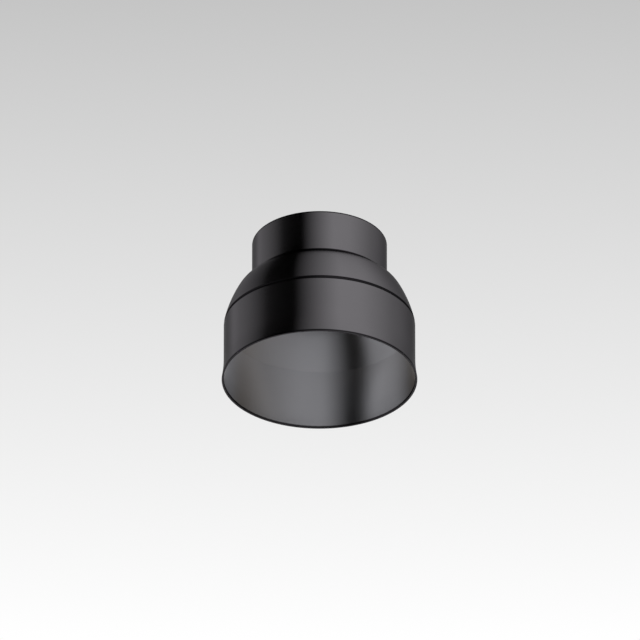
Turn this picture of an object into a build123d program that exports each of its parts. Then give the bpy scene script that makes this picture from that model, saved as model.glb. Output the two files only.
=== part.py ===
"""Duct reducer: one steel shell that joins a wide flue pipe to a narrower one.

The shell stands on the rim of its wide socket. The origin is the centre of that rim's
lower plane, and +Z runs along the duct's axis towards the narrow spigot. All sizes are
in millimetres and all leans are in degrees off the axis.
"""

import os
from math import cos, radians, sin, sqrt

from build123d import *

# Sheet and pipe sizes
sheet = 2.0
socket_bore = 180.0
spigot_outside = 130.0

# Lengths along the axis, from the rim of the socket upwards
socket_length = 61.0
shoulder_length = 45.0
spigot_length = 44.0

# Form of the convex shoulder: a gentle belly that turns into a tighter crown
foot_lean = 12.0
belly_share_of_step = 0.44
belly_share_of_length = 0.71

# Flare that opens the mouth of the socket
flare_width = 2.0
flare_length = 22.0

# Shallow creases rolled into the outer face at both ends of the shoulder
crease_width = 2.8
crease_depth = 1.0

# Broken edges of the two cut rims
mouth_rounding = 0.5
spigot_rounding = 0.5

# Radii and heights worked out from the sizes above
bore_radius = socket_bore / 2
socket_radius = bore_radius + sheet
mouth_radius = socket_radius + flare_width
spigot_radius = spigot_outside / 2
spigot_bore_radius = spigot_radius - sheet
crown_height = socket_length + shoulder_length
overall_length = crown_height + spigot_length
step = socket_radius - spigot_radius
crease_radius = (crease_width**2 / 4 + crease_depth**2) / (2 * crease_depth)
crease_offset = crease_radius - crease_depth

# Corners of the outer face, as (radius, height)
foot = (socket_radius, socket_length)
belly_end = (
    socket_radius - belly_share_of_step * step,
    socket_length + belly_share_of_length * shoulder_length,
)
crown = (spigot_radius, crown_height)
foot_direction = (-sin(radians(foot_lean)), cos(radians(foot_lean)))


def inner_corner(outer_arc, radius):
    """Point where the inner face under an arc of the shoulder meets a straight bore."""
    inner_radius = outer_arc.radius - sheet
    centre = outer_arc.arc_center
    return (radius, centre.Y + sqrt(inner_radius**2 - (radius - centre.X) ** 2))


with BuildPart() as reducer_shell:
    with BuildSketch(Plane.XZ) as section:
        with BuildLine():
            # Outer face: flared mouth, socket, belly and crown of the shoulder, spigot
            mouth = TangentArc(
                (socket_radius, flare_length), (mouth_radius, 0), tangent=(0, -1)
            )
            Line(mouth @ 0, foot)
            belly = TangentArc(foot, belly_end, tangent=foot_direction)
            top = TangentArc(belly @ 1, crown, tangent=belly % 1)
            Line(crown, (spigot_radius, overall_length))

            # Inner face: the same run, with the sheet taken off the shoulder's arcs
            inner_mouth = TangentArc(
                (bore_radius, flare_length), (mouth_radius - sheet, 0), tangent=(0, -1)
            )
            inner_turn = belly @ 1 + (belly % 1).rotate(Axis.Z, 90) * sheet
            inner_belly = TangentArc(
                inner_turn, inner_corner(belly, bore_radius), tangent=-(belly % 1)
            )
            inner_top = TangentArc(
                inner_turn, inner_corner(top, spigot_bore_radius), tangent=belly % 1
            )
            Line(inner_mouth @ 0, inner_belly @ 1)
            Line(inner_top @ 1, (spigot_bore_radius, overall_length))

            # Cut ends of the sheet
            Line(mouth @ 1, inner_mouth @ 1)
            Line((spigot_radius, overall_length), (spigot_bore_radius, overall_length))
        make_face()

        # Rims: the edges of both cut ends are broken
        fillet(section.vertices().group_by(Axis.Y)[0], mouth_rounding)
        fillet(section.vertices().group_by(Axis.Y)[-1], spigot_rounding)

        # Creases: a shallow round groove at the foot and at the crown of the shoulder
        with Locations(
            (foot[0] + crease_offset, foot[1]),
            (crown[0] + crease_offset, crown[1]),
        ):
            Circle(crease_radius, mode=Mode.SUBTRACT)
    revolve(axis=Axis.Z)

reducer_shell.part.label = "reducer_shell"
os.makedirs("parts", exist_ok=True)
export_step(reducer_shell.part, "parts/reducer_shell.step")
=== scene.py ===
"""The looks of a duct reducer: one spun steel shell under a satin black stove coating.

Every size is in metres and every place is in the row's own frame: the origin is the
centre of the wide rim's lower plane and +Z runs along the duct towards the spigot.
"""

import logging
import math
from dataclasses import dataclass
from enum import Enum
from typing import Any

import bpy
import numpy as np
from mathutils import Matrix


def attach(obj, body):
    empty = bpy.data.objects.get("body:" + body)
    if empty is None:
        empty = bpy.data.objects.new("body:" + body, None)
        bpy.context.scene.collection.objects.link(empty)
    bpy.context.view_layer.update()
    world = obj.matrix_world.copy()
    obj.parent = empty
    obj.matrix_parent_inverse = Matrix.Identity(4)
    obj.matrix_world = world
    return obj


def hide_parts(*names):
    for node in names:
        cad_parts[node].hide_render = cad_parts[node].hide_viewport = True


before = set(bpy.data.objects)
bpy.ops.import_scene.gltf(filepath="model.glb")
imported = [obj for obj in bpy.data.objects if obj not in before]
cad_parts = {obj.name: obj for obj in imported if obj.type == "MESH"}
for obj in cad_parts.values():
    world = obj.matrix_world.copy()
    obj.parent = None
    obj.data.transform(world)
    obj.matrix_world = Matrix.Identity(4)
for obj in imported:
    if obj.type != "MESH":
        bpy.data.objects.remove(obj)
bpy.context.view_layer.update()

SHELL_NODE = "reducer_shell"
BODY = "root"
PHOTO_SIDE = 640

# The share of red that a fully dimmed lamp gains, and the share of blue that it loses
WARM_RED_GAIN = 0.30
WARM_BLUE_LOSS = 0.40

LOG = logging.getLogger("duct_reducer")


class Face(Enum):
    """The two faces of the sheet, as material slots of the shell's mesh."""

    OUTSIDE = 0
    INSIDE = 1


def linear_colour(hex_colour: str) -> tuple[float, float, float, float]:
    """Turns an sRGB hex colour into linear values.

    Args:
        hex_colour: Six hex digits after a hash sign, such as "#6e6c6f".

    Returns:
        Red, green, blue and an alpha of 1, all linear.
    """
    channels = np.array([int(hex_colour[i:i + 2], 16) / 255 for i in (1, 3, 5)])
    # The standard's curve, which is straight in the darkest tones
    linear = np.where(channels <= 0.04045, channels / 12.92, ((channels + 0.055) / 1.055) ** 2.4)
    return (*linear.tolist(), 1.0)


def add_node(tree: bpy.types.NodeTree, kind: str, settings: dict[str, Any] | None = None,
             **inputs: Any) -> bpy.types.Node:
    """Adds one node with its settings, socket values and links.

    Args:
        tree: The node tree that gets the node.
        kind: Blender's type name of the node.
        settings: Properties of the node itself.
        **inputs: Socket values or output sockets to link, by the socket's name with
            underscores for spaces, or by "i0", "i1" for its number.

    Returns:
        The new node.
    """
    node = tree.nodes.new(kind)
    for key, value in (settings or {}).items():
        setattr(node, key, value)
    for key, value in inputs.items():
        numbered = key[0] == "i" and key[1:].isdigit()
        socket = node.inputs[int(key[1:])] if numbered else node.inputs[key.replace("_", " ")]
        if isinstance(value, bpy.types.NodeSocket):
            tree.links.new(value, socket)
        else:
            socket.default_value = value
    return node


def empty_material(name: str) -> bpy.types.Material:
    """Makes a material whose node tree is empty.

    Args:
        name: The finish's name.

    Returns:
        The new material.
    """
    material = bpy.data.materials.new(name)
    material.use_nodes = True
    material.node_tree.nodes.clear()
    return material


def lamp_colour(level: float, warm_below: float) -> tuple[float, float, float, float]:
    """Gives the light of a dimmed lamp, which is warmer the dimmer it is.

    Args:
        level: The lamp's brightness, where 1 is full.
        warm_below: The brightness below which its light turns warm.

    Returns:
        Linear red, green, blue and an alpha of 1.
    """
    warmth = max(0.0, 1.0 - level / warm_below)
    red, blue = 1 + WARM_RED_GAIN * warmth, 1 - WARM_BLUE_LOSS * warmth
    return (level * red, level, level * blue, 1.0)


def fill_ramp(ramp: bpy.types.ColorRamp, stops: list[tuple[float, float]],
              warm_below: float) -> None:
    """Sets a ramp's stops to the light of dimmed lamps.

    Args:
        ramp: The colour ramp of a ColorRamp node.
        stops: Pairs of position from 0 to 1 and brightness.
        warm_below: The brightness below which the light turns warm.
    """
    while len(ramp.elements) > 1:
        ramp.elements.remove(ramp.elements[-1])
    ramp.elements[0].position = stops[0][0]
    ramp.elements[0].color = lamp_colour(stops[0][1], warm_below)
    for position, level in stops[1:]:
        ramp.elements.new(position).color = lamp_colour(level, warm_below)


def ring_of_light(tree: bpy.types.NodeTree, kind: str, stops: tuple[tuple[float, float], ...],
                  place: bpy.types.NodeSocket, strength: float,
                  warm_below: float) -> bpy.types.NodeSocket:
    """Makes light whose brightness follows the azimuth of a place or direction.

    The azimuth is atan2(x, -y): nought towards the camera and positive to its right.

    Args:
        tree: The node tree that gets the nodes.
        kind: Blender's type name of the glowing node.
        stops: Pairs of azimuth in degrees and brightness.
        place: The place or direction.
        strength: The ring's overall brightness.
        warm_below: The brightness below which the light turns warm.

    Returns:
        The ring's light.
    """
    split = add_node(tree, "ShaderNodeSeparateXYZ", Vector=place)
    near = add_node(tree, "ShaderNodeMath", {"operation": "MULTIPLY"}, i0=split.outputs["Y"],
                    i1=-1.0)
    azimuth = add_node(tree, "ShaderNodeMath", {"operation": "ARCTAN2"}, i0=split.outputs["X"],
                       i1=near.outputs[0])
    turn = add_node(tree, "ShaderNodeMapRange", i0=azimuth.outputs[0], i1=-math.pi, i2=math.pi,
                    i3=0.0, i4=1.0)
    ramp = add_node(tree, "ShaderNodeValToRGB", i0=turn.outputs[0])
    ramp.color_ramp.interpolation = "LINEAR"
    fill_ramp(ramp.color_ramp, [((angle + 180) / 360, level) for angle, level in stops],
              warm_below)
    return add_node(tree, kind, Color=ramp.outputs[0], Strength=strength).outputs[0]


def turned_mesh(name: str, line: np.ndarray, segments: int, closed: bool) -> bpy.types.Mesh:
    """Turns a line about the axis.

    Point (i, j) of the grid is (r_i cos a_j, r_i sin a_j, z_i), where (r_i, z_i) is row
    i of the line and a_j is j steps round the axis. Faces look outwards where the line
    runs upwards.

    Args:
        name: The mesh's name.
        line: The (radius, height) rows.
        segments: The number of steps round the axis.
        closed: Whether the line's last point joins its first.

    Returns:
        The mesh, whose faces are ordered row by row.
    """
    rows = len(line)
    angles = np.arange(segments) / segments * 2 * math.pi
    grid = np.empty((rows, segments, 3))
    grid[..., 0] = line[:, :1] * np.cos(angles)
    grid[..., 1] = line[:, :1] * np.sin(angles)
    grid[..., 2] = line[:, 1:]
    row, column = np.meshgrid(np.arange(rows if closed else rows - 1), np.arange(segments),
                              indexing="ij")
    next_row, next_column = (row + 1) % rows, (column + 1) % segments
    quads = np.stack([row * segments + column, row * segments + next_column,
                      next_row * segments + next_column, next_row * segments + column], axis=-1)
    mesh = bpy.data.meshes.new(name)
    mesh.from_pydata(grid.reshape(-1, 3).tolist(), [], quads.reshape(-1, 4).tolist())
    mesh.polygons.foreach_set("use_smooth", np.ones(len(mesh.polygons), dtype=bool))
    return mesh


@dataclass(frozen=True)
class Arc:
    """A round stretch of the profile, from a start along a tangent to an end.

    The centre lies on the normal at the start, at the distance c.c / (2 c.n), where c is
    the chord to the end and n the unit normal on the chord's side.
    """

    start: tuple[float, float]
    tangent: tuple[float, float]
    end: tuple[float, float]

    def centre_and_radius(self) -> tuple[np.ndarray, float]:
        """Works out the circle that the arc lies on.

        Returns:
            The centre as (radius, height), and the circle's radius.
        """
        chord = np.subtract(self.end, self.start)
        direction = np.array(self.tangent) / np.hypot(*self.tangent)
        normal = np.array([-direction[1], direction[0]])
        distance = chord @ chord / (2 * (chord @ normal))
        return np.array(self.start) + normal * distance, abs(distance)

    def end_tangent(self) -> tuple[float, float]:
        """Mirrors the start's tangent in the chord, which gives the tangent at the end.

        Returns:
            The end's unit tangent as (radius, height).
        """
        chord = np.subtract(self.end, self.start)
        direction = np.array(self.tangent) / np.hypot(*self.tangent)
        mirrored = 2 * (direction @ chord) / (chord @ chord) * chord - direction
        return float(mirrored[0]), float(mirrored[1])

    def points(self, inset: float, count: int) -> np.ndarray:
        """Samples the arc, or its parallel curve nearer to the centre.

        Args:
            inset: How much smaller the sampled arc's radius is.
            count: How many points are sampled.

        Returns:
            An array of (radius, height) rows from start to end.
        """
        centre, radius = self.centre_and_radius()
        first, last = (math.atan2(*(np.array(p) - centre)[::-1]) for p in (self.start, self.end))
        sweep = (last - first + math.pi) % (2 * math.pi) - math.pi
        angles = first + sweep * np.linspace(0, 1, count)
        return centre + (radius - inset) * np.stack([np.cos(angles), np.sin(angles)], axis=1)


@dataclass(frozen=True)
class ShellProfile:
    """The reducer's section as one closed line of (radius, height) points.

    Its sizes are the CAD model's, but for a flare that is 0.05 mm narrower, so that the
    many-sided mesh stays inside the CAD model's box. Spacings set how closely the line is
    sampled: finely within the reach of a crease or a rim, and coarsely elsewhere.
    """

    sheet: float = 0.002
    bore_radius: float = 0.090
    spigot_radius: float = 0.065
    socket_length: float = 0.061
    shoulder_length: float = 0.045
    spigot_length: float = 0.044
    foot_lean: float = math.radians(12.0)
    belly_share_of_step: float = 0.44
    belly_share_of_length: float = 0.71
    flare_width: float = 0.00195
    flare_length: float = 0.022
    crease_width: float = 0.0028
    crease_depth: float = 0.001
    rim_rounding: float = 0.0005
    coarse_spacing: float = 0.0022
    fine_spacing: float = 0.00016
    fine_reach: float = 0.0022
    steps_per_fine_spacing: int = 8
    flare_points: int = 200
    shoulder_points: int = 400

    @property
    def socket_radius(self) -> float:
        """Outer radius of the straight socket."""
        return self.bore_radius + self.sheet

    @property
    def mouth_radius(self) -> float:
        """Outer radius of the flared rim."""
        return self.socket_radius + self.flare_width

    @property
    def crown_height(self) -> float:
        """Height at which the shoulder meets the spigot."""
        return self.socket_length + self.shoulder_length

    @property
    def overall_length(self) -> float:
        """Height of the spigot's rim."""
        return self.crown_height + self.spigot_length

    def shoulder(self) -> tuple[Arc, Arc]:
        """Gives the two arcs of the shoulder's outer face.

        Returns:
            The gentle belly above the socket, and the tighter crown below the spigot.
        """
        step = self.socket_radius - self.spigot_radius
        foot = (self.socket_radius, self.socket_length)
        turn = (self.socket_radius - self.belly_share_of_step * step,
                self.socket_length + self.belly_share_of_length * self.shoulder_length)
        belly = Arc(foot, (-math.sin(self.foot_lean), math.cos(self.foot_lean)), turn)
        crown = Arc(turn, belly.end_tangent(), (self.spigot_radius, self.crown_height))
        return belly, crown

    def crease_circles(self) -> tuple[list[tuple[float, float]], float]:
        """Gives the centres and the radius of the circles that press the creases.

        A groove of width w and depth d is a circle of radius (w w / 4 + d d) / (2 d),
        whose centre stands outside the wall by that radius less the depth.

        Returns:
            The centres as (radius, height), and the circles' radius.
        """
        width, depth = self.crease_width, self.crease_depth
        radius = (width ** 2 / 4 + depth ** 2) / (2 * depth)
        offset = radius - depth
        return [(self.socket_radius + offset, self.socket_length),
                (self.spigot_radius + offset, self.crown_height)], radius

    def rim_corners(self) -> list[tuple[float, float]]:
        """Gives the sharp corners of the two cut ends.

        Returns:
            The four corners as (radius, height), the mouth's first.
        """
        return [(self.mouth_radius, 0.0), (self.mouth_radius - self.sheet, 0.0),
                (self.spigot_radius, self.overall_length),
                (self.spigot_radius - self.sheet, self.overall_length)]

    def outer_line(self) -> np.ndarray:
        """Samples the outer face finely, before its creases are pressed.

        Returns:
            The (radius, height) rows from the mouth's rim up to the spigot's.
        """
        flare = Arc((self.socket_radius, self.flare_length), (0.0, -1.0), (self.mouth_radius, 0.0))
        belly, crown = self.shoulder()
        top = np.array([[self.spigot_radius, self.overall_length]])
        return np.concatenate([flare.points(0.0, self.flare_points)[::-1],
                               belly.points(0.0, self.shoulder_points),
                               crown.points(0.0, self.shoulder_points)[1:], top])

    def inner_line(self) -> np.ndarray:
        """Samples the inner face finely.

        The shoulder's arcs are those of the outer face with the sheet taken off their
        radius, cut where they meet the two straight bores.

        Returns:
            The (radius, height) rows from the spigot's rim down to the mouth's.
        """
        inner_spigot = self.spigot_radius - self.sheet
        flare = Arc((self.bore_radius, self.flare_length), (0.0, -1.0),
                    (self.mouth_radius - self.sheet, 0.0))
        belly, crown = self.shoulder()
        curved = np.concatenate([belly.points(self.sheet, self.shoulder_points),
                                 crown.points(self.sheet, self.shoulder_points)[1:]])
        keep = (curved[:, 0] < self.bore_radius) & (curved[:, 0] > inner_spigot)
        curved = curved[keep]
        corners = [[inner_spigot, self.corner_height(crown, inner_spigot)],
                   [self.bore_radius, self.corner_height(belly, self.bore_radius)]]
        return np.concatenate([[[inner_spigot, self.overall_length]], corners[:1], curved[::-1],
                               corners[1:], flare.points(0.0, self.flare_points)])

    def corner_height(self, arc: Arc, radius: float) -> float:
        """Finds where an inset arc crosses a straight bore.

        Args:
            arc: The outer face's arc.
            radius: The bore's radius.

        Returns:
            The crossing's height, from the circle's equation.
        """
        centre, outer = arc.centre_and_radius()
        return float(centre[1] + math.sqrt((outer - self.sheet) ** 2 - (radius - centre[0]) ** 2))

    def closed_line(self) -> tuple[np.ndarray, np.ndarray]:
        """Samples the whole section, closely near creases and rims and widely elsewhere.

        The line's length is weighted by the reciprocal of the wanted spacing, and points
        are taken at even steps of that sum. Points inside a crease's circle are pushed out
        to it along its radius, and points beyond a rim corner's rounding move onto it.

        Returns:
            The (radius, height) rows without a repeated last row, and for each row
            whether it lies on the sheet's inner face.
        """
        raw = np.concatenate([self.outer_line(), self.inner_line()])
        raw = np.concatenate([raw, raw[:1]])
        along = np.concatenate([[0.0], np.cumsum(np.hypot(*np.diff(raw, axis=0).T))])
        dense_step = self.fine_spacing / self.steps_per_fine_spacing
        dense_along = np.arange(0.0, along[-1], dense_step)
        dense = np.stack([np.interp(dense_along, along, raw[:, k]) for k in (0, 1)], axis=1)

        circles, radius = self.crease_circles()
        keen = np.array(circles + self.rim_corners())
        nearest = np.min(np.hypot(*(dense[:, None, :] - keen[None]).transpose(2, 0, 1)), axis=1)
        blend = np.clip(nearest / self.fine_reach - 1, 0, 1)
        spacing = self.fine_spacing + (self.coarse_spacing - self.fine_spacing) * blend
        weight = np.concatenate([[0.0], np.cumsum(np.diff(dense_along) / spacing[1:])])
        count = int(round(weight[-1]))
        at = np.interp(np.arange(count) / count * weight[-1], weight, dense_along)
        line = np.stack([np.interp(at, along, raw[:, k]) for k in (0, 1)], axis=1)

        for centre in circles:
            away = line - np.array(centre)
            distance = np.hypot(*away.T)
            pressed = distance < radius
            line[pressed] = centre + away[pressed] / distance[pressed, None] * radius
        inside = (at >= along[len(self.outer_line())]) & (at < along[-2])
        return self.rounded(line), inside

    def rounded(self, line: np.ndarray) -> np.ndarray:
        """Breaks the four rim corners with a quarter round.

        In the square of one rounding's side at a corner, a point moves along its ray
        from the square's inner corner until it stands one rounding away from it.

        Args:
            line: The (radius, height) rows.

        Returns:
            The rows with the corners rounded.
        """
        size = self.rim_rounding
        middles = {0.0: self.mouth_radius - self.sheet / 2,
                   self.overall_length: self.spigot_radius - self.sheet / 2}
        for radius, height in self.rim_corners():
            inward = np.array([math.copysign(size, middles[height] - radius),
                               size if height == 0.0 else -size])
            centre = np.array([radius, height]) + inward
            away = line - centre
            outward = (away * -np.sign(inward) > 0).all(axis=1)
            distance = np.hypot(*away.T)
            corner = outward & (distance > size) & (distance < 2 * size)
            line[corner] = centre + away[corner] / distance[corner, None] * size
        return line


@dataclass(frozen=True)
class DarkLine:
    """A line round the shell at one height that is painted darker: painted shade in a crease or
    corner, or a darker band along a rim.
    """

    height: float
    half_width: float
    fade: float


@dataclass(frozen=True)
class StoveCoat:
    """Satin black stove coating, baked in a thin film on spun steel.

    Graphite in the film gives it a dark metal's sheen, so it is shaded as a metal. The
    film follows the fine rings that the spinning tool left, so highlights draw out along
    the duct into upright bands, as on turned metal. The real rings are about 0.3 mm
    apart; they are drawn wider, as coarse as they need to be to show. Shade is painted
    into the colour as dark lines in the pressed creases and round the spigot's corner,
    and darker bands are painted along the cut rims.
    """

    name: str
    colour: str
    cloud_colour: str
    # Colour of the painted shade in creases and corners, and of the darker bands on the rims
    painted_shade_and_rim_colour: str = "#242325"
    edge_tint: float = 0.38
    metallic: float = 1.0
    roughness: float = 0.25
    anisotropy: float = 1.0
    grain_turn: float = 0.25
    cloud_size: float = 0.060
    ring_pitch: float = 0.0011
    ring_length: float = 0.080
    ring_depth: float = 0.00001
    ring_gloss: float = 0.01
    peel_size: float = 0.0016
    peel_depth: float = 0.00001

    def build(self, lines: tuple[DarkLine, ...]) -> bpy.types.Material:
        """Makes the material.

        Args:
            lines: The dark lines round the shell.

        Returns:
            The finished material.
        """
        material = empty_material(self.name)
        tree = material.node_tree
        place = add_node(tree, "ShaderNodeTexCoord").outputs["Object"]
        height = add_node(tree, "ShaderNodeSeparateXYZ", Vector=place).outputs["Z"]

        # Broad, faint cloudiness of the sprayed film
        cloud = add_node(tree, "ShaderNodeTexNoise", Vector=place, Scale=1 / self.cloud_size,
                         Detail=3.0, Roughness=0.5)
        colour = add_node(tree, "ShaderNodeMix", {"data_type": "RGBA"}, i0=cloud.outputs["Fac"],
                          i6=linear_colour(self.cloud_colour),
                          i7=linear_colour(self.colour)).outputs[2]

        # Painted shade along the creases and in the spigot's corner, and darker bands painted
        # along the rims
        for line in lines:
            off = add_node(tree, "ShaderNodeMath", {"operation": "SUBTRACT"}, i0=height,
                           i1=line.height)
            away = add_node(tree, "ShaderNodeMath", {"operation": "ABSOLUTE"}, i0=off.outputs[0])
            dark = add_node(tree, "ShaderNodeMapRange", {"interpolation_type": "SMOOTHSTEP"},
                            i0=away.outputs[0], i1=line.half_width,
                            i2=line.half_width + line.fade, i3=1.0, i4=0.0)
            colour = add_node(tree, "ShaderNodeMix", {"data_type": "RGBA"}, i0=dark.outputs[0],
                              i6=colour, i7=linear_colour(self.painted_shade_and_rim_colour)).outputs[2]

        # Spinning rings: noise squeezed along the axis, so it runs round the shell
        squeezed = add_node(tree, "ShaderNodeMapping", Vector=place,
                            Scale=(1 / self.ring_length, 1 / self.ring_length,
                                   1 / self.ring_pitch))
        rings = add_node(tree, "ShaderNodeTexNoise", Vector=squeezed.outputs[0], Scale=1.0,
                         Detail=2.0, Roughness=0.6)
        peel = add_node(tree, "ShaderNodeTexNoise", Vector=place, Scale=1 / self.peel_size,
                        Detail=1.0)
        ring_bump = add_node(tree, "ShaderNodeBump", Height=rings.outputs["Fac"], Strength=1.0,
                             Distance=self.ring_depth)
        bump = add_node(tree, "ShaderNodeBump", Height=peel.outputs["Fac"], Strength=1.0,
                        Distance=self.peel_depth, Normal=ring_bump.outputs[0])
        # Gloss follows the rings, whose noise mostly stays between 0.3 and 0.7
        gloss = add_node(tree, "ShaderNodeMapRange", i0=rings.outputs["Fac"], i1=0.3, i2=0.7,
                         i3=self.roughness - self.ring_gloss, i4=self.roughness + self.ring_gloss)

        # The grain runs round the axis, along the cross product of the axis and the place,
        # and a quarter turn from it the highlights draw out along the duct
        around = add_node(tree, "ShaderNodeVectorMath", {"operation": "CROSS_PRODUCT"},
                          i0=(0.0, 0.0, 1.0), i1=place)
        shader = add_node(tree, "ShaderNodeBsdfPrincipled", Base_Color=colour,
                          Metallic=self.metallic, Roughness=gloss.outputs[0],
                          Specular_Tint=(self.edge_tint,) * 3 + (1.0,),
                          Anisotropic=self.anisotropy, Anisotropic_Rotation=self.grain_turn,
                          Tangent=around.outputs[0], Normal=bump.outputs[0])
        add_node(tree, "ShaderNodeOutputMaterial", Surface=shader.outputs[0])
        return material


@dataclass
class ReducerShell:
    """The whole reducer: socket, shoulder and spigot in one skin of sheet."""

    profile: ShellProfile
    outer_coat: StoveCoat
    inner_coat: StoveCoat
    segments: int = 320
    mouth_line_height: float = 0.0010
    mouth_line_half_width: float = 0.0006
    corner_line_widening: float = 1.6
    # Painted shade that fades out down the shoulder below the spigot's corner
    corner_shade_drop: float = 0.0032
    corner_shade_half_width: float = 0.0010
    corner_shade_fade: float = 0.0050
    line_fade: float = 0.0007

    def dark_lines(self) -> tuple[DarkLine, ...]:
        """Places a darker band on each rim, and painted shade in each crease.

        The mouth's band runs just above its cut end, which stays a little lighter. In the
        corner round the spigot the painted shade also fades out slowly down the shoulder.

        Returns:
            The lines from the mouth up to the spigot's rim.
        """
        profile, fade = self.profile, self.line_fade
        crease, corner = profile.crease_width / 2, profile.crown_height
        # The rims get darker bands; the foot crease and the spigot's corner get painted shade
        return (DarkLine(self.mouth_line_height, self.mouth_line_half_width, fade),
                DarkLine(profile.socket_length, crease, fade),
                DarkLine(corner, self.corner_line_widening * crease, fade),
                DarkLine(corner - self.corner_shade_drop, self.corner_shade_half_width,
                         self.corner_shade_fade),
                DarkLine(profile.overall_length, profile.sheet / 2, fade))

    def build(self) -> bpy.types.Object:
        """Turns the section about the axis into one closed mesh and dresses it.

        Returns:
            The finished object.
        """
        line, inside = self.profile.closed_line()
        mesh = turned_mesh("duct_reducer_shell", line, self.segments, closed=True)
        lines = self.dark_lines()
        mesh.materials.append(self.outer_coat.build(lines))
        mesh.materials.append(self.inner_coat.build(lines[:1]))
        faces = np.where(inside, Face.INSIDE.value, Face.OUTSIDE.value)
        mesh.polygons.foreach_set("material_index", np.repeat(faces, self.segments))
        mesh.update()
        shell = bpy.data.objects.new("duct_reducer_shell", mesh)
        bpy.context.scene.collection.objects.link(shell)
        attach(shell, BODY)
        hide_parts(SHELL_NODE)
        LOG.info("shell: %d section points, %d faces", len(line), len(mesh.polygons))
        return shell


@dataclass(frozen=True)
class Floor:
    """A pale floor at the rim's height, which only a camera above it sees."""

    side: float = 24.0
    colour: str = "#d9d9d9"
    glow: float = 0.35

    def build(self) -> bpy.types.Object:
        """Makes the floor: solid to camera rays from above, clear to everything else.

        Returns:
            The floor's object.
        """
        half = self.side / 2
        mesh = bpy.data.meshes.new("floor")
        mesh.from_pydata([(-half, -half, 0), (half, -half, 0), (half, half, 0), (-half, half, 0)],
                         [], [(0, 1, 2, 3)])
        material = empty_material("pale_matt_floor")
        tree = material.node_tree
        path = add_node(tree, "ShaderNodeLightPath")
        side = add_node(tree, "ShaderNodeNewGeometry")
        front = add_node(tree, "ShaderNodeMath", {"operation": "SUBTRACT"}, i0=1.0,
                         i1=side.outputs["Backfacing"])
        seen = add_node(tree, "ShaderNodeMath", {"operation": "MULTIPLY"}, i0=front.outputs[0],
                        i1=path.outputs["Is Camera Ray"])
        clear = add_node(tree, "ShaderNodeBsdfTransparent")
        matt = add_node(tree, "ShaderNodeBsdfDiffuse", Color=linear_colour(self.colour))
        glow = add_node(tree, "ShaderNodeEmission", Color=linear_colour(self.colour),
                        Strength=self.glow)
        both = add_node(tree, "ShaderNodeAddShader", i0=matt.outputs[0], i1=glow.outputs[0])
        mix = add_node(tree, "ShaderNodeMixShader", i0=seen.outputs[0], i1=clear.outputs[0],
                       i2=both.outputs[0])
        add_node(tree, "ShaderNodeOutputMaterial", Surface=mix.outputs[0])
        mesh.materials.append(material)
        floor = bpy.data.objects.new("floor", mesh)
        bpy.context.scene.collection.objects.link(floor)
        return floor


@dataclass(frozen=True)
class LightLining:
    """A soft light that lines the socket and the shoulder, and lights only the inside.

    It stands just off the inner face and glows inwards, so each part of the wall mirrors
    the lining's far side as upright bands. Each pair is an azimuth in degrees, from the
    camera and positive to its right, and the brightness there. A black flag hangs in it
    to the camera's left, and a black cover over the mouth keeps the studio's light out
    of the inside and the lining's light off the floor. No camera ray sees them.
    """

    profile: ShellProfile
    glow: tuple[tuple[float, float], ...] = (
        # Soft panel behind, brightest at its left end
        (-180, 0.30), (-150, 0.54), (-120, 0.57), (-105, 0.66), (-95, 0.56),
        # Black flag
        (-76, 0.0), (-53, 0.0),
        # Wide panel in front, which fades out round the right
        (-6, 0.98), (30, 0.90), (150, 0.18), (165, 0.18), (180, 0.30))
    strength: float = 3.75
    warm_below: float = 0.30
    gap: float = 0.0006
    cover_gap: float = 0.0001
    low: float = 0.0004
    high: float = 0.1045
    rows: int = 40
    segments: int = 192

    def build(self) -> None:
        """Makes the lining from the inner face's line, brought in by a gap, and the cover."""
        inner = self.profile.inner_line()[::-1]
        heights = np.linspace(self.high, self.low, self.rows)
        radii = np.interp(heights, inner[:, 1], inner[:, 0])
        straight = np.minimum(radii, self.profile.bore_radius)
        # The lining's line runs downwards, which turns its faces inwards
        lining = np.stack([straight - self.gap, heights], axis=1)
        cover = np.array([[radii[-1] - self.cover_gap, self.low], [0.0, self.low]])
        for name, line, surface in (("light_lining", lining, self.inward_glow),
                                    ("black_cover", cover, self.black)):
            mesh = turned_mesh(name, line, self.segments, closed=False)
            material = empty_material(name)
            add_node(material.node_tree, "ShaderNodeOutputMaterial",
                     Surface=surface(material.node_tree))
            mesh.materials.append(material)
            screen = bpy.data.objects.new(name, mesh)
            screen.visible_camera = False
            bpy.context.scene.collection.objects.link(screen)

    def inward_glow(self, tree: bpy.types.NodeTree) -> bpy.types.NodeSocket:
        """Makes the glow of the lining's inner side; its outer side is clear.

        Args:
            tree: The node tree that gets the nodes.

        Returns:
            The lining's surface.
        """
        place = add_node(tree, "ShaderNodeTexCoord").outputs["Object"]
        glow = ring_of_light(tree, "ShaderNodeEmission", self.glow, place, self.strength,
                             self.warm_below)
        side = add_node(tree, "ShaderNodeNewGeometry")
        clear = add_node(tree, "ShaderNodeBsdfTransparent")
        return add_node(tree, "ShaderNodeMixShader", i0=side.outputs["Backfacing"], i1=glow,
                        i2=clear.outputs[0]).outputs[0]

    def black(self, tree: bpy.types.NodeTree) -> bpy.types.NodeSocket:
        """Makes the cover's black, which neither glows nor mirrors.

        Args:
            tree: The node tree that gets the node.

        Returns:
            The cover's surface.
        """
        return add_node(tree, "ShaderNodeEmission", Strength=0.0).outputs[0]


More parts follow.
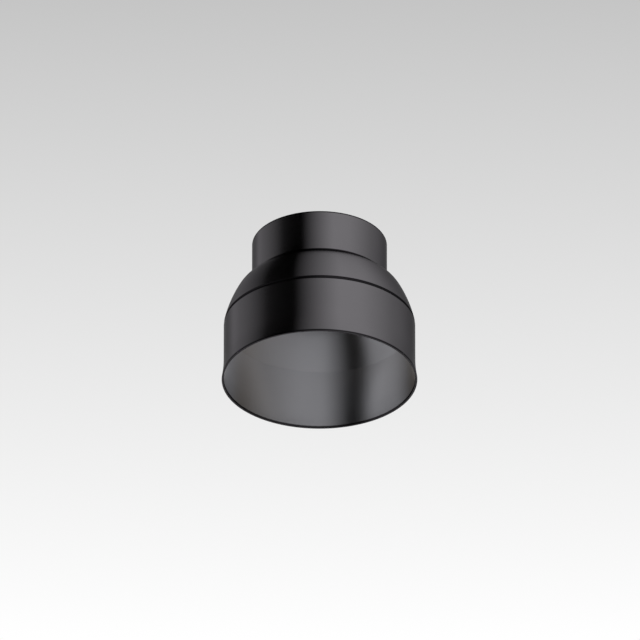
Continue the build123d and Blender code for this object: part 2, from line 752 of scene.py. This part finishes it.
@dataclass(frozen=True)
class Studio:
    """Soft studio light from tall panels all round, and the backdrop behind the object.

    Each pair is an azimuth in degrees, from the camera and positive to its right, and
    the panel's brightness there. One black flag stands to the camera's left. The panels
    lean in overhead, so their azimuth is measured about an axis that leans back. The
    backdrop's grey runs between the rises of the frame's lower and upper edges.
    """

    panels: tuple[tuple[float, float], ...] = (
        # Even fill behind, and a strip light at the left
        (-180, 0.50), (-125, 0.58), (-104, 0.97), (-92, 0.62),
        # Black flag
        (-54, 0.0), (-25, 0.0),
        # Key panel in front at the right, which fades into the fill
        (20, 1.09), (44, 1.09), (80, 0.65), (130, 0.50), (180, 0.50))
    strength: float = 1.0
    warm_below: float = 0.50
    overhead_lean: float = math.radians(33)
    backdrop_low: float = math.sin(math.radians(29.37))
    backdrop_high: float = math.sin(math.radians(31.43))
    backdrop_bottom_grey: str = "#ffffff"
    backdrop_top_grey: str = "#c5c5c5"

    def build(self) -> None:
        """Makes the world: panels for the object's light, backdrop for the camera."""
        world = bpy.data.worlds.new("studio")
        bpy.context.scene.world = world
        world.use_nodes = True
        tree = world.node_tree
        tree.nodes.clear()
        toward = add_node(tree, "ShaderNodeTexCoord").outputs["Generated"]
        leaning = add_node(tree, "ShaderNodeVectorRotate", {"rotation_type": "X_AXIS"},
                           Vector=toward, Angle=self.overhead_lean)
        light = ring_of_light(tree, "ShaderNodeBackground", self.panels, leaning.outputs[0],
                              self.strength, self.warm_below)

        rise = add_node(tree, "ShaderNodeSeparateXYZ", Vector=toward).outputs["Z"]
        grey = add_node(tree, "ShaderNodeMapRange", i0=rise, i1=self.backdrop_low,
                        i2=self.backdrop_high, i3=0.0, i4=1.0)
        shade = add_node(tree, "ShaderNodeMix", {"data_type": "RGBA"}, i0=grey.outputs[0],
                         i6=linear_colour(self.backdrop_bottom_grey),
                         i7=linear_colour(self.backdrop_top_grey))
        backdrop = add_node(tree, "ShaderNodeBackground", Color=shade.outputs[2], Strength=1.0)
        path = add_node(tree, "ShaderNodeLightPath")
        both = add_node(tree, "ShaderNodeMixShader", i0=path.outputs["Is Camera Ray"],
                        i1=light, i2=backdrop.outputs[0])
        add_node(tree, "ShaderNodeOutputWorld", Surface=both.outputs[0])


@dataclass(frozen=True)
class Camera:
    """A long lens that looks up at the reducer from below, as in the photograph.

    The object's silhouette in the photograph fixes the scale, the height of the axis
    point at the frame's middle and the elevation.
    """

    lens: float = 1000.0
    sensor: float = 36.0
    elevation: float = math.radians(-30.4)
    pixels_per_metre: float = 1040.5
    axis_column: float = 319.5
    middle_height: float = 0.0666

    def build(self) -> bpy.types.Object:
        """Places the camera so that the object fills the photograph's place in the frame.

        Returns:
            The camera's object.
        """
        data = bpy.data.cameras.new("camera")
        data.lens = self.lens
        data.sensor_width = self.sensor
        frame_width = PHOTO_SIDE / self.pixels_per_metre
        distance = frame_width * self.lens / self.sensor
        aside = (PHOTO_SIDE / 2 - self.axis_column) / self.pixels_per_metre
        camera = bpy.data.objects.new("camera", data)
        camera.location = (aside, -distance * math.cos(self.elevation),
                           self.middle_height + distance * math.sin(self.elevation))
        camera.rotation_euler = (math.pi / 2 - self.elevation, 0.0, 0.0)
        data.clip_start, data.clip_end = 0.1, 100.0
        bpy.context.scene.collection.objects.link(camera)
        bpy.context.scene.camera = camera
        return camera


def main() -> None:
    """Builds the shell, its floor, light and camera."""
    logging.basicConfig(level=logging.INFO, format="%(name)s: %(message)s")
    bpy.context.scene.view_settings.view_transform = "Standard"
    profile = ShellProfile()
    outer_coat = StoveCoat("satin_black_stove_coating_on_spun_steel", "#6f6d70", "#686669")
    inner_coat = StoveCoat("satin_black_stove_coating_inside", "#6e6e71", "#67676a",
                           roughness=0.38)
    ReducerShell(profile, outer_coat, inner_coat).build()
    Floor().build()
    LightLining(profile).build()
    Studio().build()
    Camera().build()


if __name__ == "__main__":
    main()
